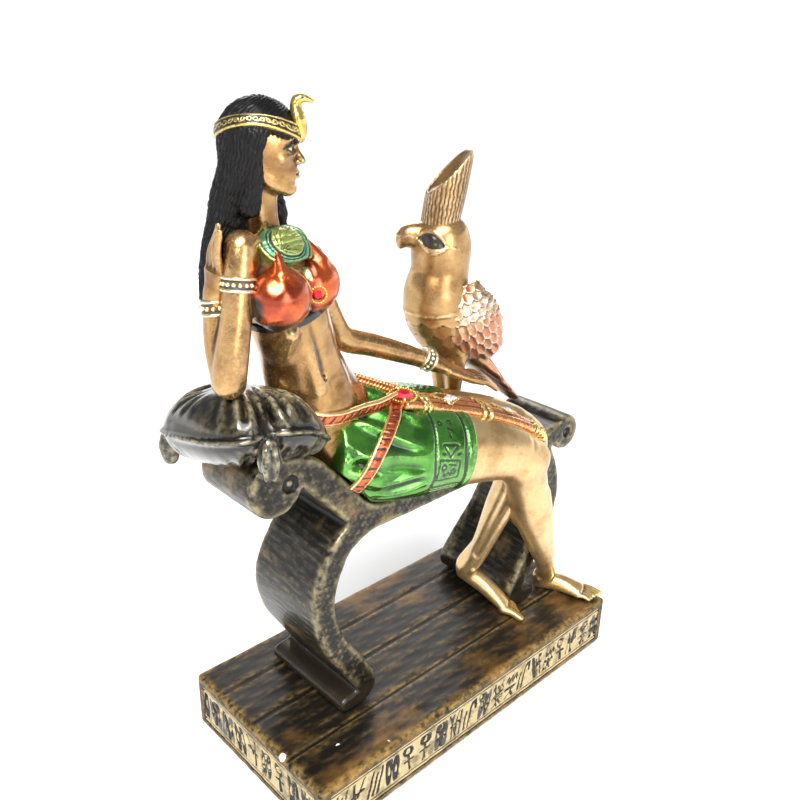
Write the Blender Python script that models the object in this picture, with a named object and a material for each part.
"""Egyptian queen statuette: a reclining queen and a falcon on a chaise, on an oblong plinth.

The frame has its origin in the middle of the plinth's underside, +X along the plinth to the
raised falcon's end, -Y to the front and +Z up. Sizes below are millimetres.
"""

import math

import bmesh
import bpy
import numpy as np
from mathutils import Matrix, Vector

MM = 0.001

# Plinth
PLINTH_LENGTH = 170.0
PLINTH_DEPTH = 82.0
PLINTH_HEIGHT = 24.5
PLINTH_ROUNDING = 1.6
BAND_MARGIN_TOP = 3.6
BAND_MARGIN_BOTTOM = 3.4
BAND_MARGIN_END = 4.0
BAND_RECESS = 0.9

# Couch
COUCH_FRONT = -17.0
COUCH_BACK = 16.0
FOOT_BACK = 29.0
SEAT_HEIGHT = 86.0
RAIL_THICKNESS = 9.0
LEG_THICKNESS = 9.6
COUCH_MIDDLE = 2.3
LEG_SPREAD = 50.6
LEG_BULGE = 14.5
HEAD_ROLL_RADIUS = 10.4
HEAD_ROLL_X = -81.3
HEAD_ROLL_RISE = 22.5
FOOT_ROLL_RADIUS = 8.0
FOOT_ROLL_X = 74.0
FOOT_ROLL_RISE = -5.0
ROLL_EYE_DEPTH = 1.2
ROLL_EYE_SHARE = 0.3

# Cushion
CUSHION_X = -81.4
CUSHION_LENGTH = 44.8
CUSHION_DEPTH = 57.0
CUSHION_THICKNESS = 26.0
CUSHION_RISE = 41.5
CUSHION_BEND = 0.013
CUSHION_TILT = 0.22
CUSHION_CORNERS = (50.0, 134.0, 248.0, 310.0)
TASSEL_LENGTH = 12.0

# Gems: length, width and height of each cut stone
BELT_GEM = (8.0, 3.6, 2.6)
BUST_GEM = (3.6, 3.6, 2.6)
PANEL_GEM = (7.0, 4.0, 2.0)

# Gap kept between pieces that touch
GAP = 0.3

# Fineness of the carved solids
QUEEN_VOXEL = 0.75
QUEEN_FACES = 4600
FALCON_VOXEL = 0.75
FALCON_FACES = 1500

SEAT_TOP = PLINTH_HEIGHT + SEAT_HEIGHT

# Directions of the queen's chest and head
SHOULDER_LINE = Vector((0.90, 0.32, -0.29)).normalized()
HEAD_FORWARD = Vector((0.73, -0.683, 0.0)).normalized()
HEAD_SIDE = Vector((0.683, 0.73, 0.0)).normalized()
HEAD_CENTRE = Vector((-74.0, -3.8, SEAT_TOP + 126.0))
UP = Vector((0.0, 0.0, 1.0))
ACROSS = Vector((0.0, 1.0, 0.0))


def on_seat(x, y, rise):
    """A point given by its height above the seat."""
    return Vector((x, y, SEAT_TOP + rise))


def below_seat(x, y, share):
    """A point of the lower legs, given by its share of the seat's height."""
    return Vector((x, y, PLINTH_HEIGHT + share * SEAT_HEIGHT))


def of_head(forward, side, rise):
    """A point given from the middle of the head."""
    return HEAD_CENTRE + HEAD_FORWARD * forward + HEAD_SIDE * side + UP * rise


def material(name, colour, roughness, metallic):
    """A Principled material with the piece's plain colour."""
    found = bpy.data.materials.get(name)
    if found:
        return found
    made = bpy.data.materials.new(name)
    made.use_nodes = True
    shader = made.node_tree.nodes["Principled BSDF"]
    shader.inputs["Base Color"].default_value = (*colour, 1.0)
    shader.inputs["Roughness"].default_value = roughness
    shader.inputs["Metallic"].default_value = metallic
    return made


def black_gold():
    return material("black resin with gold wear", (0.05, 0.04, 0.025), 0.4, 0.3)


def bronze_gold():
    return material("bronze gold paint", (0.50, 0.30, 0.11), 0.3, 0.9)


def object_of(name, form, *sizes):
    """A new mesh object whose bmesh is filled by the function form, in millimetres."""
    mesh = bpy.data.meshes.new(name)
    made = bmesh.new()
    form(made, *sizes)
    bmesh.ops.recalc_face_normals(made, faces=made.faces)
    bmesh.ops.scale(made, vec=(MM, MM, MM), verts=made.verts)
    made.to_mesh(mesh)
    made.free()
    obj = bpy.data.objects.new(name, mesh)
    bpy.context.scene.collection.objects.link(obj)
    return obj


def helper(obj):
    """Marks an object as a cutter or a guide that is not part of the model."""
    obj.hide_render = True
    obj.display_type = "WIRE"
    return obj


def box(made, low, high):
    """A box between two corners."""
    size = [b - a for a, b in zip(low, high)]
    middle = [(a + b) / 2 for a, b in zip(low, high)]
    matrix = Matrix.Translation(middle) @ Matrix.Diagonal((*size, 1.0))
    return bmesh.ops.create_cube(made, size=1.0, matrix=matrix)["verts"]


def tube(made, stations, side, sides=16, dome=0.6):
    """Lofts ellipses through stations of (centre, half width, half depth), with domed ends.

    side is the direction of the half widths. dome is the height of an end's dome as a share
    of its half depth, and 0 leaves the end flat.
    """
    rows = [(Vector(c), w, d) for c, w, d in stations]
    count = len(rows)
    tangents = []
    for i in range(count):
        ahead = rows[min(i + 1, count - 1)][0] - rows[max(i - 1, 0)][0]
        tangents.append(ahead.normalized())
    rings = []
    steps = (0.92, 0.65) if dome else ()

    def ring(centre, tangent, width, depth):
        across = (side - tangent * side.dot(tangent)).normalized()
        front = tangent.cross(across)
        corners = []
        for k in range(sides):
            turn = 2 * math.pi * k / sides
            point = centre + across * (width * math.cos(turn)) + front * (depth * math.sin(turn))
            corners.append(made.verts.new(point))
        rings.append(corners)

    first, last = rows[0], rows[-1]
    for share in reversed(steps):
        rise = dome * first[2] * math.sqrt(1 - share * share)
        ring(first[0] - tangents[0] * rise, tangents[0], first[1] * share, first[2] * share)
    for (centre, width, depth), tangent in zip(rows, tangents):
        ring(centre, tangent, width, depth)
    for share in steps:
        rise = dome * last[2] * math.sqrt(1 - share * share)
        ring(last[0] + tangents[-1] * rise, tangents[-1], last[1] * share, last[2] * share)
    for one, two in zip(rings, rings[1:]):
        for k in range(sides):
            n = (k + 1) % sides
            made.faces.new((one[k], one[n], two[n], two[k]))
    made.faces.new(list(reversed(rings[0])))
    made.faces.new(rings[-1])


def round_tube(made, stations, side=ACROSS, sides=14, dome=0.8):
    """A tube of round sections: stations of (centre, radius)."""
    tube(made, [(c, r, r) for c, r in stations], side, sides, dome)


def ball(made, centre, radius, stretch=(1.0, 1.0, 1.0), axes=None):
    """An ellipsoid; axes are the three directions that the stretch goes with."""
    frame = Matrix(axes).transposed().to_4x4() if axes else Matrix.Identity(4)
    matrix = Matrix.Translation(centre) @ frame @ Matrix.Diagonal((*[radius * s for s in stretch], 1.0))
    bmesh.ops.create_icosphere(made, subdivisions=3, radius=1.0, matrix=matrix)


def smooth_curve(points, per_span=6):
    """Points on a Catmull-Rom curve through the given ones."""
    rows = [np.array(p, float) for p in points]
    rows = [2 * rows[0] - rows[1]] + rows + [2 * rows[-1] - rows[-2]]
    found = []
    for a, b, c, d in zip(rows, rows[1:], rows[2:], rows[3:]):
        slope, bow, twist = c - a, 2 * a - 5 * b + 4 * c - d, 3 * b - a - 3 * c + d
        for k in range(per_span):
            t = k / per_span
            found.append(b + 0.5 * (slope * t + bow * t**2 + twist * t**3))
    found.append(rows[-2])
    return found


def ribbon(points, thicknesses, per_span=6):
    """The outline of a band of varying thickness along a curve, in X and Z."""
    rows = smooth_curve([(x, z, t) for (x, z), t in zip(points, thicknesses)], per_span)
    left, right = [], []
    for i, (x, z, t) in enumerate(rows):
        ahead = rows[min(i + 1, len(rows) - 1)] - rows[max(i - 1, 0)]
        length = math.hypot(ahead[0], ahead[1])
        nx, nz = -ahead[1] / length, ahead[0] / length
        left.append((x + nx * t / 2, z + nz * t / 2))
        right.append((x - nx * t / 2, z - nz * t / 2))
    return left + right[::-1]


def extrude(made, outline, front, back):
    """Extrudes an outline of (x, z) from the front plane to back, a function of z."""
    near = [made.verts.new((x, front, z)) for x, z in outline]
    far = [made.verts.new((x, back(z), z)) for x, z in outline]
    for k in range(len(outline)):
        n = (k + 1) % len(outline)
        made.faces.new((near[k], near[n], far[n], far[k]))
    made.faces.new(near)
    made.faces.new(far[::-1])


def circle(x, z, radius, sides=28):
    """The outline of a circle in X and Z."""
    turns = [2 * math.pi * k / sides for k in range(sides)]
    return [(x + radius * math.cos(a), z + radius * math.sin(a)) for a in turns]


def boolean(obj, other, operation):
    """Adds a Boolean with the EXACT solver."""
    step = obj.modifiers.new(operation.lower(), "BOOLEAN")
    step.operation = operation
    step.object = other
    step.solver = "EXACT"
    return step


def carve(obj, voxel, smoothing, faces):
    """Fuses an object's overlapping forms into one skin and thins it to about that many faces."""
    fused = obj.modifiers.new("fuse", "REMESH")
    fused.mode = "VOXEL"
    fused.voxel_size = voxel * MM
    soften = obj.modifiers.new("soften", "SMOOTH")
    soften.factor = 0.5
    soften.iterations = smoothing
    bpy.context.view_layer.update()
    graph = bpy.context.evaluated_depsgraph_get()
    count = 2 * len(obj.evaluated_get(graph).data.polygons)
    thin = obj.modifiers.new("thin", "DECIMATE")
    thin.ratio = min(1.0, faces / count)
    thin.use_collapse_triangulate = True


def plinth():
    """The oblong plinth with a recessed band round its four sides."""
    half_x, half_y = PLINTH_LENGTH / 2, PLINTH_DEPTH / 2
    obj = object_of("plinth", box, (-half_x, -half_y, 0.0), (half_x, half_y, PLINTH_HEIGHT))
    bevel = obj.modifiers.new("worn edges", "BEVEL")
    bevel.width = PLINTH_ROUNDING * MM
    bevel.segments = 2
    low, high = BAND_MARGIN_BOTTOM, PLINTH_HEIGHT - BAND_MARGIN_TOP
    long_end, short_end = half_x - BAND_MARGIN_END, half_y - BAND_MARGIN_END

    def bands(made):
        for way in (-1, 1):
            y = sorted((way * (half_y - BAND_RECESS), way * (half_y + BAND_RECESS)))
            box(made, (-long_end, y[0], low), (long_end, y[1], high))
            x = sorted((way * (half_x - BAND_RECESS), way * (half_x + BAND_RECESS)))
            box(made, (x[0], -short_end, low), (x[1], short_end, high))

    boolean(obj, helper(object_of("band cutter", bands)), "DIFFERENCE")
    obj.data.materials.append(black_gold())
    return obj


def couch_shapes(grown):
    """Outlines of the couch with their front and back, all grown by the same amount."""
    middle = SEAT_TOP - RAIL_THICKNESS / 2
    roll = (HEAD_ROLL_X, SEAT_TOP + HEAD_ROLL_RISE)
    knob = (FOOT_ROLL_X, SEAT_TOP + FOOT_ROLL_RISE)
    front = COUCH_FRONT - grown

    def back(z):
        lean = (FOOT_BACK - COUCH_BACK) / SEAT_HEIGHT
        return COUCH_BACK + lean * (SEAT_TOP - z) + grown

    rail = [
        (roll[0] + 1.0, roll[1] + HEAD_ROLL_RADIUS - 4.2),
        (roll[0] + 12.0, roll[1] + 2.0),
        (roll[0] + 23.0, roll[1] - 9.0),
        (roll[0] + 38.0, middle + 2.4),
        (roll[0] + 55.0, middle),
        (COUCH_MIDDLE, middle),
        (COUCH_MIDDLE + 40.0, middle),
        (knob[0] - 12.0, middle - 0.3),
        (knob[0], knob[1] + FOOT_ROLL_RADIUS - 4.0),
    ]
    thick = [7.0, 10.5, 11.0, 10.0] + [RAIL_THICKNESS] * 4 + [6.0]
    shapes = [(ribbon(rail, [t + 2 * grown for t in thick], 4), front, back)]
    shapes.append((circle(*roll, HEAD_ROLL_RADIUS + grown), front, back))
    shapes.append((circle(*knob, FOOT_ROLL_RADIUS + grown, 24), front, back))

    for way in (-1, 1):
        leg = [
            (COUCH_MIDDLE + way * (LEG_SPREAD - 5.0), SEAT_TOP - 4.0),
            (COUCH_MIDDLE + way * (LEG_SPREAD + 0.5 * LEG_BULGE), PLINTH_HEIGHT + 0.86 * SEAT_HEIGHT),
            (COUCH_MIDDLE + way * (LEG_SPREAD + LEG_BULGE), PLINTH_HEIGHT + 0.64 * SEAT_HEIGHT),
            (COUCH_MIDDLE + way * (LEG_SPREAD + 0.72 * LEG_BULGE), PLINTH_HEIGHT + 0.42 * SEAT_HEIGHT),
            (COUCH_MIDDLE + way * LEG_SPREAD, PLINTH_HEIGHT + 0.22 * SEAT_HEIGHT),
            (COUCH_MIDDLE + way * (LEG_SPREAD - 5.5), PLINTH_HEIGHT + 0.1 * SEAT_HEIGHT),
            (COUCH_MIDDLE + way * (LEG_SPREAD - 2.5), PLINTH_HEIGHT + GAP + 4.0),
            (COUCH_MIDDLE + way * (LEG_SPREAD + 4.5), PLINTH_HEIGHT + GAP + 3.3),
        ]
        sizes = [10.0, 9.6, 9.6, 9.6, 10.0, 9.6, 8.0, 6.6]
        sizes = [s * LEG_THICKNESS / 9.6 + 2 * grown for s in sizes]
        shapes.append((ribbon(leg, sizes, 4), front, back))
    return shapes


def couch_cutter(name, grown):
    """The couch grown a little, which cuts its neighbours clear of it."""
    shapes = enumerate(couch_shapes(grown))
    return [helper(object_of(f"{name} {n}", extrude, *shape)) for n, shape in shapes]


def floor(name):
    """The plinth's body grown by the gap, which trims what stands on it."""
    reach = PLINTH_LENGTH
    return helper(object_of(name, box, (-reach, -reach, 0.0), (reach, reach, PLINTH_HEIGHT + GAP)))


def couch():
    """The chaise: rail, two bowed legs and the rolls at its head and foot."""
    rail, *others = couch_shapes(0.0)
    obj = object_of("couch", extrude, *rail)
    for n, shape in enumerate(others):
        boolean(obj, helper(object_of(f"couch piece {n}", extrude, *shape)), "UNION")
    eyes = (
        (HEAD_ROLL_X + 0.5 * HEAD_ROLL_RADIUS, SEAT_TOP + HEAD_ROLL_RISE, HEAD_ROLL_RADIUS),
        (FOOT_ROLL_X, SEAT_TOP + FOOT_ROLL_RISE, FOOT_ROLL_RADIUS),
    )

    def eye_bottom(_):
        return COUCH_FRONT + ROLL_EYE_DEPTH

    def eye_rings(made):
        for x, z, radius in eyes:
            outline = circle(x, z, ROLL_EYE_SHARE * radius, 20)
            extrude(made, outline, COUCH_FRONT - ROLL_EYE_DEPTH, eye_bottom)

    boolean(obj, helper(object_of("roll eyes", eye_rings)), "DIFFERENCE")
    boolean(obj, floor("couch floor"), "DIFFERENCE")
    obj.data.materials.append(black_gold())
    return obj


def cushion_middle(x, y):
    """Height of the cushion's middle surface, which bends down over the rail."""
    past = max(0.0, x - (CUSHION_X - 8.5))
    return SEAT_TOP + CUSHION_RISE - CUSHION_BEND * past * past - CUSHION_TILT * y


def cushion_point(turn, rise, grown=0.0):
    """A point of the puffed skin, at a bearing round the cushion and a rise over its seam."""
    c, s = math.cos(turn), math.sin(turn)
    square = (abs(c) ** 2.8 + abs(s) ** 2.8) ** (-1 / 2.8)
    to_corner = min(abs(turn - math.radians(corner)) for corner in CUSHION_CORNERS)
    gather = math.exp(-((to_corner / 0.17) ** 2))
    out = math.cos(rise) ** 0.75 * square * (1 - 0.14 * gather)
    thick = math.sin(rise) * (1 - 0.45 * gather * math.cos(rise) ** 2)
    x = CUSHION_X + (CUSHION_LENGTH / 2 + grown) * out * c
    y = (CUSHION_DEPTH / 2 + grown) * out * s
    return Vector((x, y, cushion_middle(x, y) + (CUSHION_THICKNESS / 2 + grown) * thick))


def cushion_body(made, grown):
    """A puffed square cushion with its four corners gathered in."""
    columns, rows = 36, 14
    rings = []
    for j in range(1, rows):
        rise = -math.pi / 2 + math.pi * j / rows
        turns = [2 * math.pi * k / columns for k in range(columns)]
        rings.append([made.verts.new(cushion_point(turn, rise, grown)) for turn in turns])
    low = made.verts.new(cushion_point(0.0, -math.pi / 2, grown))
    high = made.verts.new(cushion_point(0.0, math.pi / 2, grown))
    for one, two in zip(rings, rings[1:]):
        for k in range(columns):
            n = (k + 1) % columns
            made.faces.new((one[k], one[n], two[n], two[k]))
    for k in range(columns):
        n = (k + 1) % columns
        made.faces.new((low, rings[0][n], rings[0][k]))
        made.faces.new((high, rings[-1][k], rings[-1][n]))


def tassel(made, corner):
    """A teardrop tassel hanging from a corner of the cushion."""
    turn = math.radians(corner)
    out = Vector((math.cos(turn), math.sin(turn), 0.0))
    knot = cushion_point(turn, 0.0) - out * 1.6
    drop = TASSEL_LENGTH
    stations = [
        (knot, 2.4),
        (knot + out * 2.6 - UP * (0.25 * drop), 2.6),
        (knot + out * 3.4 - UP * (0.65 * drop), 3.6),
        (knot + out * 3.4 - UP * drop, 2.6),
    ]
    round_tube(made, stations, Vector((1, 0, 0)), 10)


def cushion():
    """The cushion with two tassels, cut clear of the couch that it lies over."""
    obj = object_of("cushion", cushion_body, 0.0)
    for n, corner in enumerate(CUSHION_CORNERS[1:3]):
        boolean(obj, helper(object_of(f"tassel {n}", tassel, corner)), "UNION")
    for cutter in couch_cutter("couch for the cushion", GAP)[:2]:
        boolean(obj, cutter, "DIFFERENCE")
    obj.data.materials.append(black_gold())
    return obj


def torso(made):
    """Trunk from the collar bones to the seat, with the bust."""
    rows = [
        ((-69.5, -3.0, 98.0), 9.0, 6.0),
        ((-68.9, -3.8, 93.5), 14.6, 8.0),
        ((-68.8, -4.5, 86.5), 15.8, 10.5),
        ((-66.8, -4.0, 77.5), 14.8, 11.5),
        ((-62.5, -2.5, 65.5), 14.0, 11.4),
        ((-58.5, -0.5, 53.5), 15.0, 12.0),
        ((-51.0, 2.0, 38.5), 18.0, 14.0),
        ((-43.0, 3.0, 25.5), 20.0, 16.5),
        ((-38.0, 3.0, 16.5), 20.0, 17.0),
    ]
    tube(made, [(on_seat(*c), w, d) for c, w, d in rows], SHOULDER_LINE, 24)
    ball(made, on_seat(-77.5, -15.5, 84.0), 8.6)
    ball(made, on_seat(-61.8, -10.4, 84.8), 8.2)
    neck = [
        (of_head(-1.0, 0.0, -9.0), 5.6),
        (on_seat(-73.6, -1.8, 104.0), 5.5),
        (on_seat(-71.8, -1.6, 95.0), 6.8),
    ]
    round_tube(made, neck)


def head(made):
    """Skull, face, nose and chin on plain proportions."""
    axes = (HEAD_FORWARD, HEAD_SIDE, UP)
    ball(made, of_head(0.0, 0.0, 1.5), 1.0, (11.0, 9.2, 11.0), axes)
    ball(made, of_head(4.2, 0.0, -5.2), 1.0, (6.0, 6.4, 8.6), axes)
    nose = [(of_head(9.6, 0, 0.2), 0.9, 0.8), (of_head(11.2, 0, -4.6), 1.4, 1.1)]
    tube(made, nose, HEAD_SIDE, 8)
    ball(made, of_head(8.2, 0.0, -12.0), 2.2)
    ball(made, of_head(9.4, 0.0, -8.2), 1.7, (1.0, 1.5, 1.0), axes)


def hair(made):
    """Cap of hair, the long fall behind the right shoulder and the lock at the left."""
    axes = (HEAD_FORWARD, HEAD_SIDE, UP)
    ball(made, of_head(-1.6, 0.0, 2.0), 1.0, (10.8, 10.4, 11.0), axes)
    fall = [
        (of_head(-2.6, 0.0, 4.0), 8.8, 7.0),
        (of_head(-3.6, 0.0, -6.0), 8.8, 6.2),
        (on_seat(-78.0, 2.4, 110.0), 9.6, 6.0),
        (on_seat(-79.0, 4.0, 99.0), 11.0, 5.6),
        (on_seat(-82.4, 4.6, 88.5), 9.4, 5.0),
        (on_seat(-86.4, 4.0, 80.0), 5.2, 3.2),
    ]
    tube(made, fall, SHOULDER_LINE, 20)
    lock = [
        (of_head(-1.0, 6.8, -4.0), 3.6, 3.0),
        (of_head(-1.4, 7.0, -14.0), 3.6, 3.0),
        (on_seat(-67.0, 2.6, 98.0), 4.0, 3.0),
    ]
    tube(made, lock, HEAD_FORWARD, 12)


def regalia(made):
    """Diadem with its cobra, collar, armlet and bracelets."""
    diadem = [(of_head(-1.2, 0, 2.8), 10.9, 11.7), (of_head(-1.0, 0, 7.2), 10.0, 10.6)]
    tube(made, diadem, HEAD_SIDE, 28, 0.0)
    cobra = [
        (of_head(10.6, 0, 3.2), 1.5, 1.0),
        (of_head(11.4, 0, 7.0), 2.1, 1.1),
        (of_head(10.4, 0, 11.0), 1.7, 1.1),
        (of_head(11.8, 0, 13.4), 1.3, 1.1),
        (of_head(14.4, 0, 12.8), 0.8, 0.7),
    ]
    tube(made, cobra, HEAD_SIDE, 10)
    collar = [
        (on_seat(-71.2, -5.0, 101.0), 7.0, 6.4),
        (on_seat(-71.4, -7.2, 95.6), 12.6, 8.6),
        (on_seat(-71.4, -7.8, 93.6), 12.6, 8.6),
    ]
    tube(made, collar, SHOULDER_LINE, 24, 0.3)
    armlet = [(on_seat(-87.4, -10.4, 90.6), 5.3), (on_seat(-88.0, -10.8, 87.2), 5.3)]
    right_bracelet = [(on_seat(-91.2, -2.6, 82.0), 4.3), (on_seat(-91.2, -3.0, 78.6), 4.4)]
    left_bracelet = [(on_seat(0.6, 2.1, 42.4), 4.3), (on_seat(3.8, 1.4, 40.2), 4.2)]
    for band in (armlet, right_bracelet, left_bracelet):
        round_tube(made, band, ACROSS, 16, 0.2)


def right_arm(made):
    """The arm that leans on the cushion and folds back up to the shoulder."""
    upper = [
        (on_seat(-85.0, -8.8, 98.8), 5.1),
        (on_seat(-86.8, -10.1, 93.0), 4.8),
        (on_seat(-89.6, -11.4, 80.0), 4.8),
        (on_seat(-92.0, -11.6, 68.0), 5.2),
        (on_seat(-92.8, -10.8, 59.6), 5.2),
    ]
    round_tube(made, upper)
    fore = [
        (on_seat(-92.6, -9.0, 60.4), 4.8),
        (on_seat(-91.8, -4.6, 71.0), 4.4),
        (on_seat(-91.2, -2.6, 80.0), 3.4),
    ]
    round_tube(made, fore)
    tube(made, [(on_seat(-91.2, -3.2, 82.0), 3.3, 2.6), (on_seat(-91.6, -4.6, 92.0), 4.2, 2.3)], ACROSS, 12)
    for k in range(4):
        start = on_seat(-91.2, -7.2 + 1.9 * k, 92.0)
        tip = on_seat(-92.2 + 0.9 * k, -9.4 + 1.9 * k, 105.6 - 1.3 * abs(k - 1))
        knuckle = (start + tip) / 2 + Vector((-0.9, 0, 0))
        round_tube(made, [(start, 1.2), (knuckle, 1.15), (tip, 0.9)], ACROSS, 8)


def left_arm(made):
    """The arm that reaches to the far thigh."""
    chain = [
        (on_seat(-53.4, 1.8, 88.4), 5.6),
        (on_seat(-48.6, 4.4, 79.0), 4.9),
        (on_seat(-38.4, 8.0, 62.2), 4.6),
        (on_seat(-33.6, 8.0, 55.8), 4.7),
        (on_seat(-22.6, 6.2, 51.6), 4.4),
        (on_seat(-7.0, 3.2, 45.0), 3.8),
        (on_seat(5.0, 1.0, 39.2), 3.1),
    ]
    round_tube(made, chain)
    flat = Vector((0.25, 0.95, 0.1))
    palm = [
        (on_seat(5.0, 1.0, 39.2), 3.2, 2.8),
        (on_seat(14.0, -1.4, 34.6), 4.8, 2.6),
        (on_seat(22.0, -3.2, 30.6), 5.0, 2.2),
    ]
    tube(made, palm, flat, 14)
    for k in range(4):
        side = flat * (2.2 * (1.5 - k))
        start = on_seat(21.0, -3.2, 30.8) + side
        reach = 17.0 - 1.6 * abs(k - 1)
        middle = start + Vector((0.50 * reach, -0.06 * reach, -0.16 * reach)) + side * 0.15
        tip = start + Vector((0.93 * reach, -0.14 * reach, -0.48 * reach)) + side * 0.2
        round_tube(made, [(start, 1.4), (middle, 1.3), (tip, 1.0)], ACROSS, 8)
    root = on_seat(10.0, -3.6, 35.4)
    thumb = [(root, 1.7), (root + Vector((8.0, -3.6, -4.0)), 1.5), (root + Vector((15.0, -4.4, -7.4)), 1.1)]
    round_tube(made, thumb, ACROSS, 8)


RIGHT_THIGH = [
    ((-37.0, -6.5, 16.5), 18.0),
    ((-22.0, -11.6, 15.4), 17.0),
    ((-8.0, -16.4, 13.8), 15.6),
    ((10.5, -23.6, 10.0), 12.6),
    ((20.8, -27.2, 6.4), 11.0),
    ((25.5, -28.8, 3.4), 10.2),
]
LEFT_THIGH = [
    ((-34.0, 12.0, 16.5), 17.6),
    ((-16.0, 8.6, 15.6), 16.6),
    ((0.0, 3.6, 14.4), 15.0),
    ((22.0, -8.0, 11.4), 12.4),
    ((33.0, -16.0, 8.0), 11.0),
    ((36.5, -19.5, 4.6), 10.4),
]


def legs(made):
    """Thighs on the seat and the lower legs down to the plinth."""
    for rows in (RIGHT_THIGH, LEFT_THIGH):
        round_tube(made, [(on_seat(*c), r) for c, r in rows], ACROSS, 20)
    right = [
        ((26.4, -29.1, 1.02), 9.8),
        ((32.3, -28.9, 0.854), 8.5),
        ((38.5, -27.8, 0.684), 8.2),
        ((47.5, -26.3, 0.475), 5.9),
        ((57.1, -23.5, 0.30), 4.6),
        ((64.9, -19.9, 0.168), 4.4),
        ((68.2, -15.6, 0.08), 4.4),
    ]
    round_tube(made, [(below_seat(*c), r) for c, r in right], ACROSS, 16)
    left = [
        ((37.0, -20.6, 1.03), 10.2),
        ((33.0, -21.3, 0.863), 7.9),
        ((30.4, -16.7, 0.686), 6.2),
        ((30.0, -10.7, 0.48), 4.8),
        ((29.6, -6.0, 0.345), 4.4),
        ((28.4, -2.6, 0.27), 4.2),
    ]
    round_tube(made, [(below_seat(*c), r) for c, r in left], ACROSS, 16)


def foot(made, heel, ball_of_foot, toes, side, width):
    """A foot from the heel to five toes; side points to the big toe."""
    middle = heel.lerp(ball_of_foot, 0.5) + UP * 1.2
    tube(made, [(heel, 3.9, 4.0), (middle, 4.2, 4.2), (ball_of_foot, width, 2.9)], side, 14)
    along = toes - ball_of_foot
    for k in range(5):
        place = side * (width * (0.72 - 0.36 * k))
        start = ball_of_foot + place - UP * 0.6
        reach = 1.0 - 0.10 * k
        size = 1.55 if k == 0 else 1.15 - 0.05 * k
        knuckle = start + along * (0.5 * reach) + UP * 0.5
        toe = [(start, size + 0.3), (knuckle, size), (start + along * reach, size * 0.9)]
        round_tube(made, toe, ACROSS, 8)


def feet(made):
    """The flat right foot and the left foot on its toes."""
    side = Vector((0.90, 0.43, 0.0)).normalized()
    right = [below_seat(68.6, -13.2, 0.045), below_seat(77.4, -31.0, 0.032), below_seat(81.2, -39.0, 0.018)]
    foot(made, *right, side, 5.4)
    side = Vector((-0.82, -0.57, 0.0)).normalized()
    left = [below_seat(28.6, -1.2, 0.24), below_seat(39.6, -16.4, 0.065), below_seat(44.6, -23.0, 0.02)]
    foot(made, *left, side, 4.8)


def skirt(made):
    """Skirt over hips and thighs, its hem a step above the skin."""
    near = [
        ((-50.0, -1.0, 20.0), 19.0, 18.0),
        ((-38.0, -5.0, 17.8), 20.0, 18.6),
        ((-22.0, -11.4, 15.6), 18.6, 18.2),
        ((-10.0, -15.6, 14.2), 17.2, 16.6),
        ((-1.0, -19.3, 12.4), 15.8, 15.0),
    ]
    far = [
        ((-50.0, 8.0, 20.0), 18.0, 17.6),
        ((-38.0, 9.0, 18.0), 19.0, 18.6),
        ((-16.0, 8.6, 15.6), 17.8, 17.8),
        ((-4.0, 4.8, 14.8), 16.4, 16.2),
        ((6.5, -0.2, 13.4), 15.2, 14.8),
    ]
    between = [
        ((-34.0, 2.0, 20.0), 12.0, 16.0),
        ((-10.0, -5.0, 16.0), 11.0, 14.4),
        ((1.5, -9.8, 13.4), 9.5, 12.6),
    ]
    for rows in (near, far, between):
        tube(made, [(on_seat(*c), w, d) for c, w, d in rows], ACROSS, 18, 0.12)


def panel(made):
    """The embroidered front panel that runs from the belt to the knees, and its end band."""
    flat = Vector((-0.30, 0.93, 0.2))
    rows = [
        ((-25.5, -12.6, 36.2), 5.0, 2.4),
        ((-12.0, -12.6, 32.0), 6.2, 2.6),
        ((5.4, -15.8, 26.6), 7.0, 2.8),
        ((21.4, -19.8, 19.6), 8.2, 3.2),
        ((32.4, -22.2, 12.6), 9.2, 3.4),
        ((36.4, -23.6, 6.4), 9.4, 2.8),
    ]
    tube(made, [(on_seat(*c), w, d) for c, w, d in rows], flat, 16, 0.2)


def belt(made):
    """The belt low on the hips, a closed ring tilted down to the gem."""
    turns = 28
    middle = on_seat(-46.5, 2.4, 31.5)
    side = SHOULDER_LINE
    front = Vector((0.55, -0.80, 0.22)).normalized()
    front = (front - side * front.dot(side)).normalized()
    rings = []
    for k in range(turns):
        a = 2 * math.pi * k / turns
        out = side * math.cos(a) * 19.4 + front * math.sin(a) * 16.6
        centre = middle + out
        normal = out.normalized()
        lift = side.cross(front)
        ring = []
        for m in range(6):
            b = 2 * math.pi * m / 6
            ring.append(made.verts.new(centre + normal * (1.2 * math.cos(b)) + lift * (2.2 * math.sin(b))))
        rings.append(ring)
    for k in range(turns):
        one, two = rings[k], rings[(k + 1) % turns]
        for m in range(6):
            n = (m + 1) % 6
            made.faces.new((one[m], one[n], two[n], two[m]))


def gem_frame(normal, along):
    """Axes of a stone: along its length, across it and out of its face."""
    out = Vector(normal).normalized()
    run = Vector(along)
    run = (run - out * run.dot(out)).normalized()
    return run, out.cross(run), out


# Each stone's size, place, direction out of its face, direction of its length and squareness
GEMS = {
    "belt_gem": (BELT_GEM, on_seat(-24.6, -13.6, 39.0), (-0.12, -0.55, 0.82), (0.9, -0.3, -0.3), 2.0),
    "bust_gem": (BUST_GEM, on_seat(-65.3, -17.8, 83.6), (-0.3, -0.93, 0.1), (1.0, 0.0, 0.0), 4.0),
    "panel_gem_1": (PANEL_GEM, on_seat(-3.0, -15.8, 32.0), (-0.1, -0.38, 0.92), (0.9, -0.2, -0.35), 1.0),
    "panel_gem_2": (PANEL_GEM, on_seat(22.6, -22.2, 22.2), (0.1, -0.40, 0.92), (0.9, -0.2, -0.35), 1.0),
}


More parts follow.
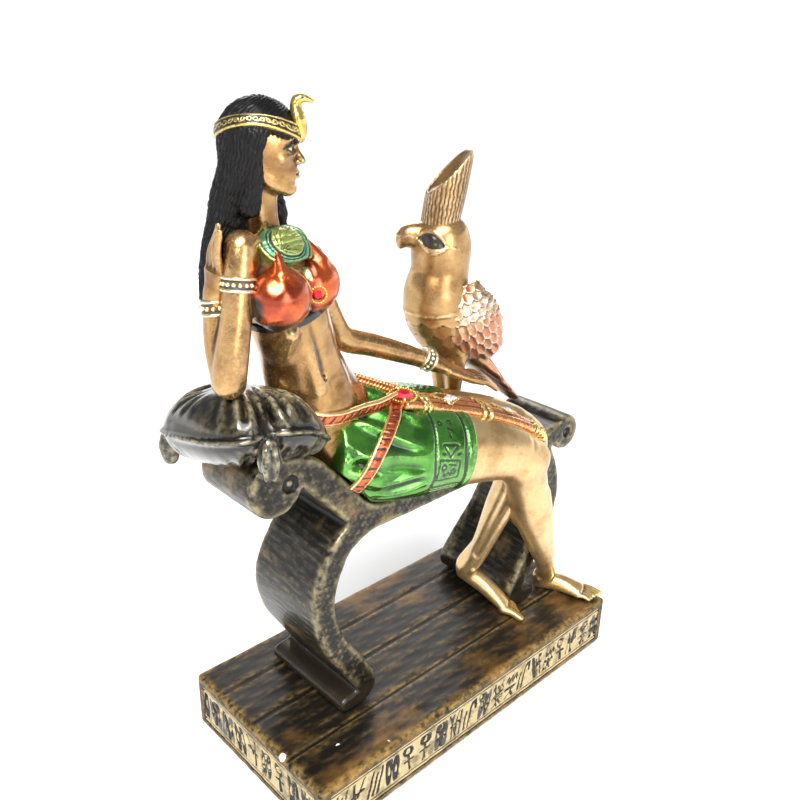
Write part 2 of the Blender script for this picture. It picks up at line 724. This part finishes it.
def stone(made, size, place, normal, along, squareness, grown):
    """A cut stone: a girdle, a flat table above it and a flat base below."""
    length, width, height = size
    run, across, out = gem_frame(normal, along)
    count = 12
    levels = ((0.80, -0.5), (1.0, 0.0), (0.55, 0.5))
    rings = []
    for share, level in levels:
        ring = []
        for k in range(count):
            a = 2 * math.pi * k / count
            c, s = math.cos(a), math.sin(a)
            shape = (abs(c) ** squareness + abs(s) ** squareness) ** (-1 / squareness)
            x = (length / 2 * share + grown) * c * shape
            y = (width / 2 * share + grown) * s * shape
            z = level * (height + 2 * grown)
            ring.append(made.verts.new(place + run * x + across * y + out * z))
        rings.append(ring)
    for one, two in zip(rings, rings[1:]):
        for k in range(count):
            n = (k + 1) % count
            made.faces.new((one[k], one[n], two[n], two[k]))
    made.faces.new(rings[0][::-1])
    made.faces.new(rings[-1])


def gems():
    """The cut stones, each in a socket of the queen's dress."""
    red = material("red glass stone", (0.55, 0.0, 0.02), 0.08, 0.1)
    white = material("clear glass stone", (0.85, 0.86, 0.9), 0.08, 0.3)
    sockets = []
    for name, sizes in GEMS.items():
        obj = object_of(name, stone, *sizes, 0.0)
        obj.data.materials.append(white if "panel" in name else red)
        sockets.append(helper(object_of(f"{name} socket", stone, *sizes, GAP)))
    return sockets


def queen(sockets):
    """The queen, cast in one with her dress, hair and ornaments."""

    def body(made):
        for form in (torso, head, hair, regalia, right_arm, left_arm, legs, feet, skirt, panel, belt):
            form(made)

    obj = object_of("queen", body)
    carve(obj, QUEEN_VOXEL, 3, QUEEN_FACES)
    boolean(obj, helper(object_of("cushion clearance", cushion_body, GAP)), "DIFFERENCE")
    for cutter in couch_cutter("couch for the queen", GAP):
        boolean(obj, cutter, "DIFFERENCE")
    boolean(obj, floor("queen floor"), "DIFFERENCE")
    for socket in sockets:
        boolean(obj, socket, "DIFFERENCE")
    obj.data.materials.append(bronze_gold())
    return obj


def falcon_body(made):
    """Head with its hooked beak, breast, wings, tail and legs."""
    body = [
        ((17.2, 11.0, 86.4), 10.7, 10.7),
        ((17.4, 11.0, 80.4), 11.9, 11.9),
        ((17.2, 11.0, 71.6), 11.4, 11.6),
        ((15.8, 11.0, 63.0), 13.1, 13.3),
        ((17.8, 11.0, 54.5), 13.2, 14.2),
        ((24.0, 11.0, 44.0), 11.0, 12.8),
        ((34.4, 11.0, 34.4), 8.8, 7.0),
        ((44.0, 11.0, 26.6), 9.0, 4.0),
        ((54.0, 11.0, 17.4), 7.4, 2.6),
        ((68.0, 11.0, 5.4), 4.8, 1.6),
    ]
    tube(made, [(on_seat(*c), w, d) for c, w, d in body], ACROSS, 20)
    beak = [
        ((9.0, 14.4, 85.6), 4.8, 5.2),
        ((6.0, 16.0, 86.0), 4.0, 4.8),
        ((3.8, 17.5, 84.8), 3.0, 3.6),
        ((2.8, 18.4, 81.6), 1.2, 1.4),
    ]
    tube(made, [(on_seat(*c), w, d) for c, w, d in beak], Vector((0.53, 0.85, 0.0)), 12)
    for way in (-1, 1):
        wing = [
            ((20.6, 11.0 + way * 9.6, 66.2), 7.4, 3.6),
            ((22.6, 11.0 + way * 12.0, 56.0), 12.2, 4.0),
            ((33.2, 11.0 + way * 9.8, 43.0), 11.2, 3.6),
            ((42.2, 11.0 + way * 7.2, 34.4), 6.4, 2.8),
        ]
        tube(made, [(on_seat(*c), w, d) for c, w, d in wing], Vector((0.9, 0.3 * way, 0.45)), 14)
        leg = [
            ((24.0, 11.0 + way * 4.2, 40.0), 5.0),
            ((25.0, 11.0 + way * 3.6, 30.0), 3.6),
            ((25.0, 11.2 + way * 3.2, 18.0), 2.2),
            ((24.0, 11.2 + way * 3.0, 2.4), 2.2),
        ]
        round_tube(made, [(on_seat(*c), r) for c, r in leg], Vector((1, 0, 0)), 10)
        for turn in (-0.5, 0.0, 0.5):
            start = on_seat(24.0, 11.2 + way * 3.0, 1.9)
            tip = start + Vector((-6.5 * math.cos(turn), 6.5 * math.sin(turn), -0.7))
            round_tube(made, [(start, 1.7), (tip, 1.1)], UP, 8)


def crown():
    """The tall crown, cut off on a slant and scooped out."""
    base, lean = on_seat(15.9, 11.2, 88.6), Vector((0.15, -0.09, 1.0))

    def body(made):
        stations = [(base, 7.2), (base + lean * 12.0, 7.6), (base + lean * 30.0, 7.4)]
        round_tube(made, stations, ACROSS, 24, 0.0)

    def slant(made):
        tilt = Matrix.Rotation(math.radians(-32.0), 4, "Z") @ Matrix.Rotation(math.radians(-45.3), 4, "Y")
        corner = base + Vector((-5.6, 3.5, 11.4))
        matrix = Matrix.Translation(corner) @ tilt @ Matrix.Translation((10.0, 0.0, 20.0))
        matrix = matrix @ Matrix.Diagonal((80.0, 40.0, 40.0, 1.0))
        bmesh.ops.create_cube(made, size=1.0, matrix=matrix)

    def scoop(made):
        ball(made, base + Vector((1.0, -0.6, 24.0)), 1.0, (6.2, 6.2, 10.0))

    obj = helper(object_of("crown", body))
    boolean(obj, helper(object_of("crown slant", slant)), "DIFFERENCE")
    boolean(obj, helper(object_of("crown scoop", scoop)), "DIFFERENCE")
    return obj


def queen_clearance():
    """The queen's arm, thighs and skirt grown a little, which trims the falcon beside them."""

    def body(made):
        for form in (left_arm, regalia, legs, skirt):
            form(made)

    obj = helper(object_of("queen clearance", body))
    fused = obj.modifiers.new("fuse", "REMESH")
    fused.mode = "VOXEL"
    fused.voxel_size = 1.5 * QUEEN_VOXEL * MM
    swell = obj.modifiers.new("swell", "DISPLACE")
    swell.strength = 2 * GAP * MM
    swell.mid_level = 0.0
    return obj


def falcon():
    """The falcon that stands on the seat behind the queen's thighs."""
    obj = object_of("falcon", falcon_body)
    carve(obj, FALCON_VOXEL, 2, FALCON_FACES)
    boolean(obj, crown(), "UNION")
    for cutter in couch_cutter("couch for the falcon", GAP):
        boolean(obj, cutter, "DIFFERENCE")
    boolean(obj, queen_clearance(), "DIFFERENCE")
    obj.data.materials.append(bronze_gold())
    return obj


def main():
    for obj in list(bpy.data.objects):
        bpy.data.objects.remove(obj, do_unlink=True)
    plinth()
    couch()
    cushion()
    queen(gems())
    falcon()


main()
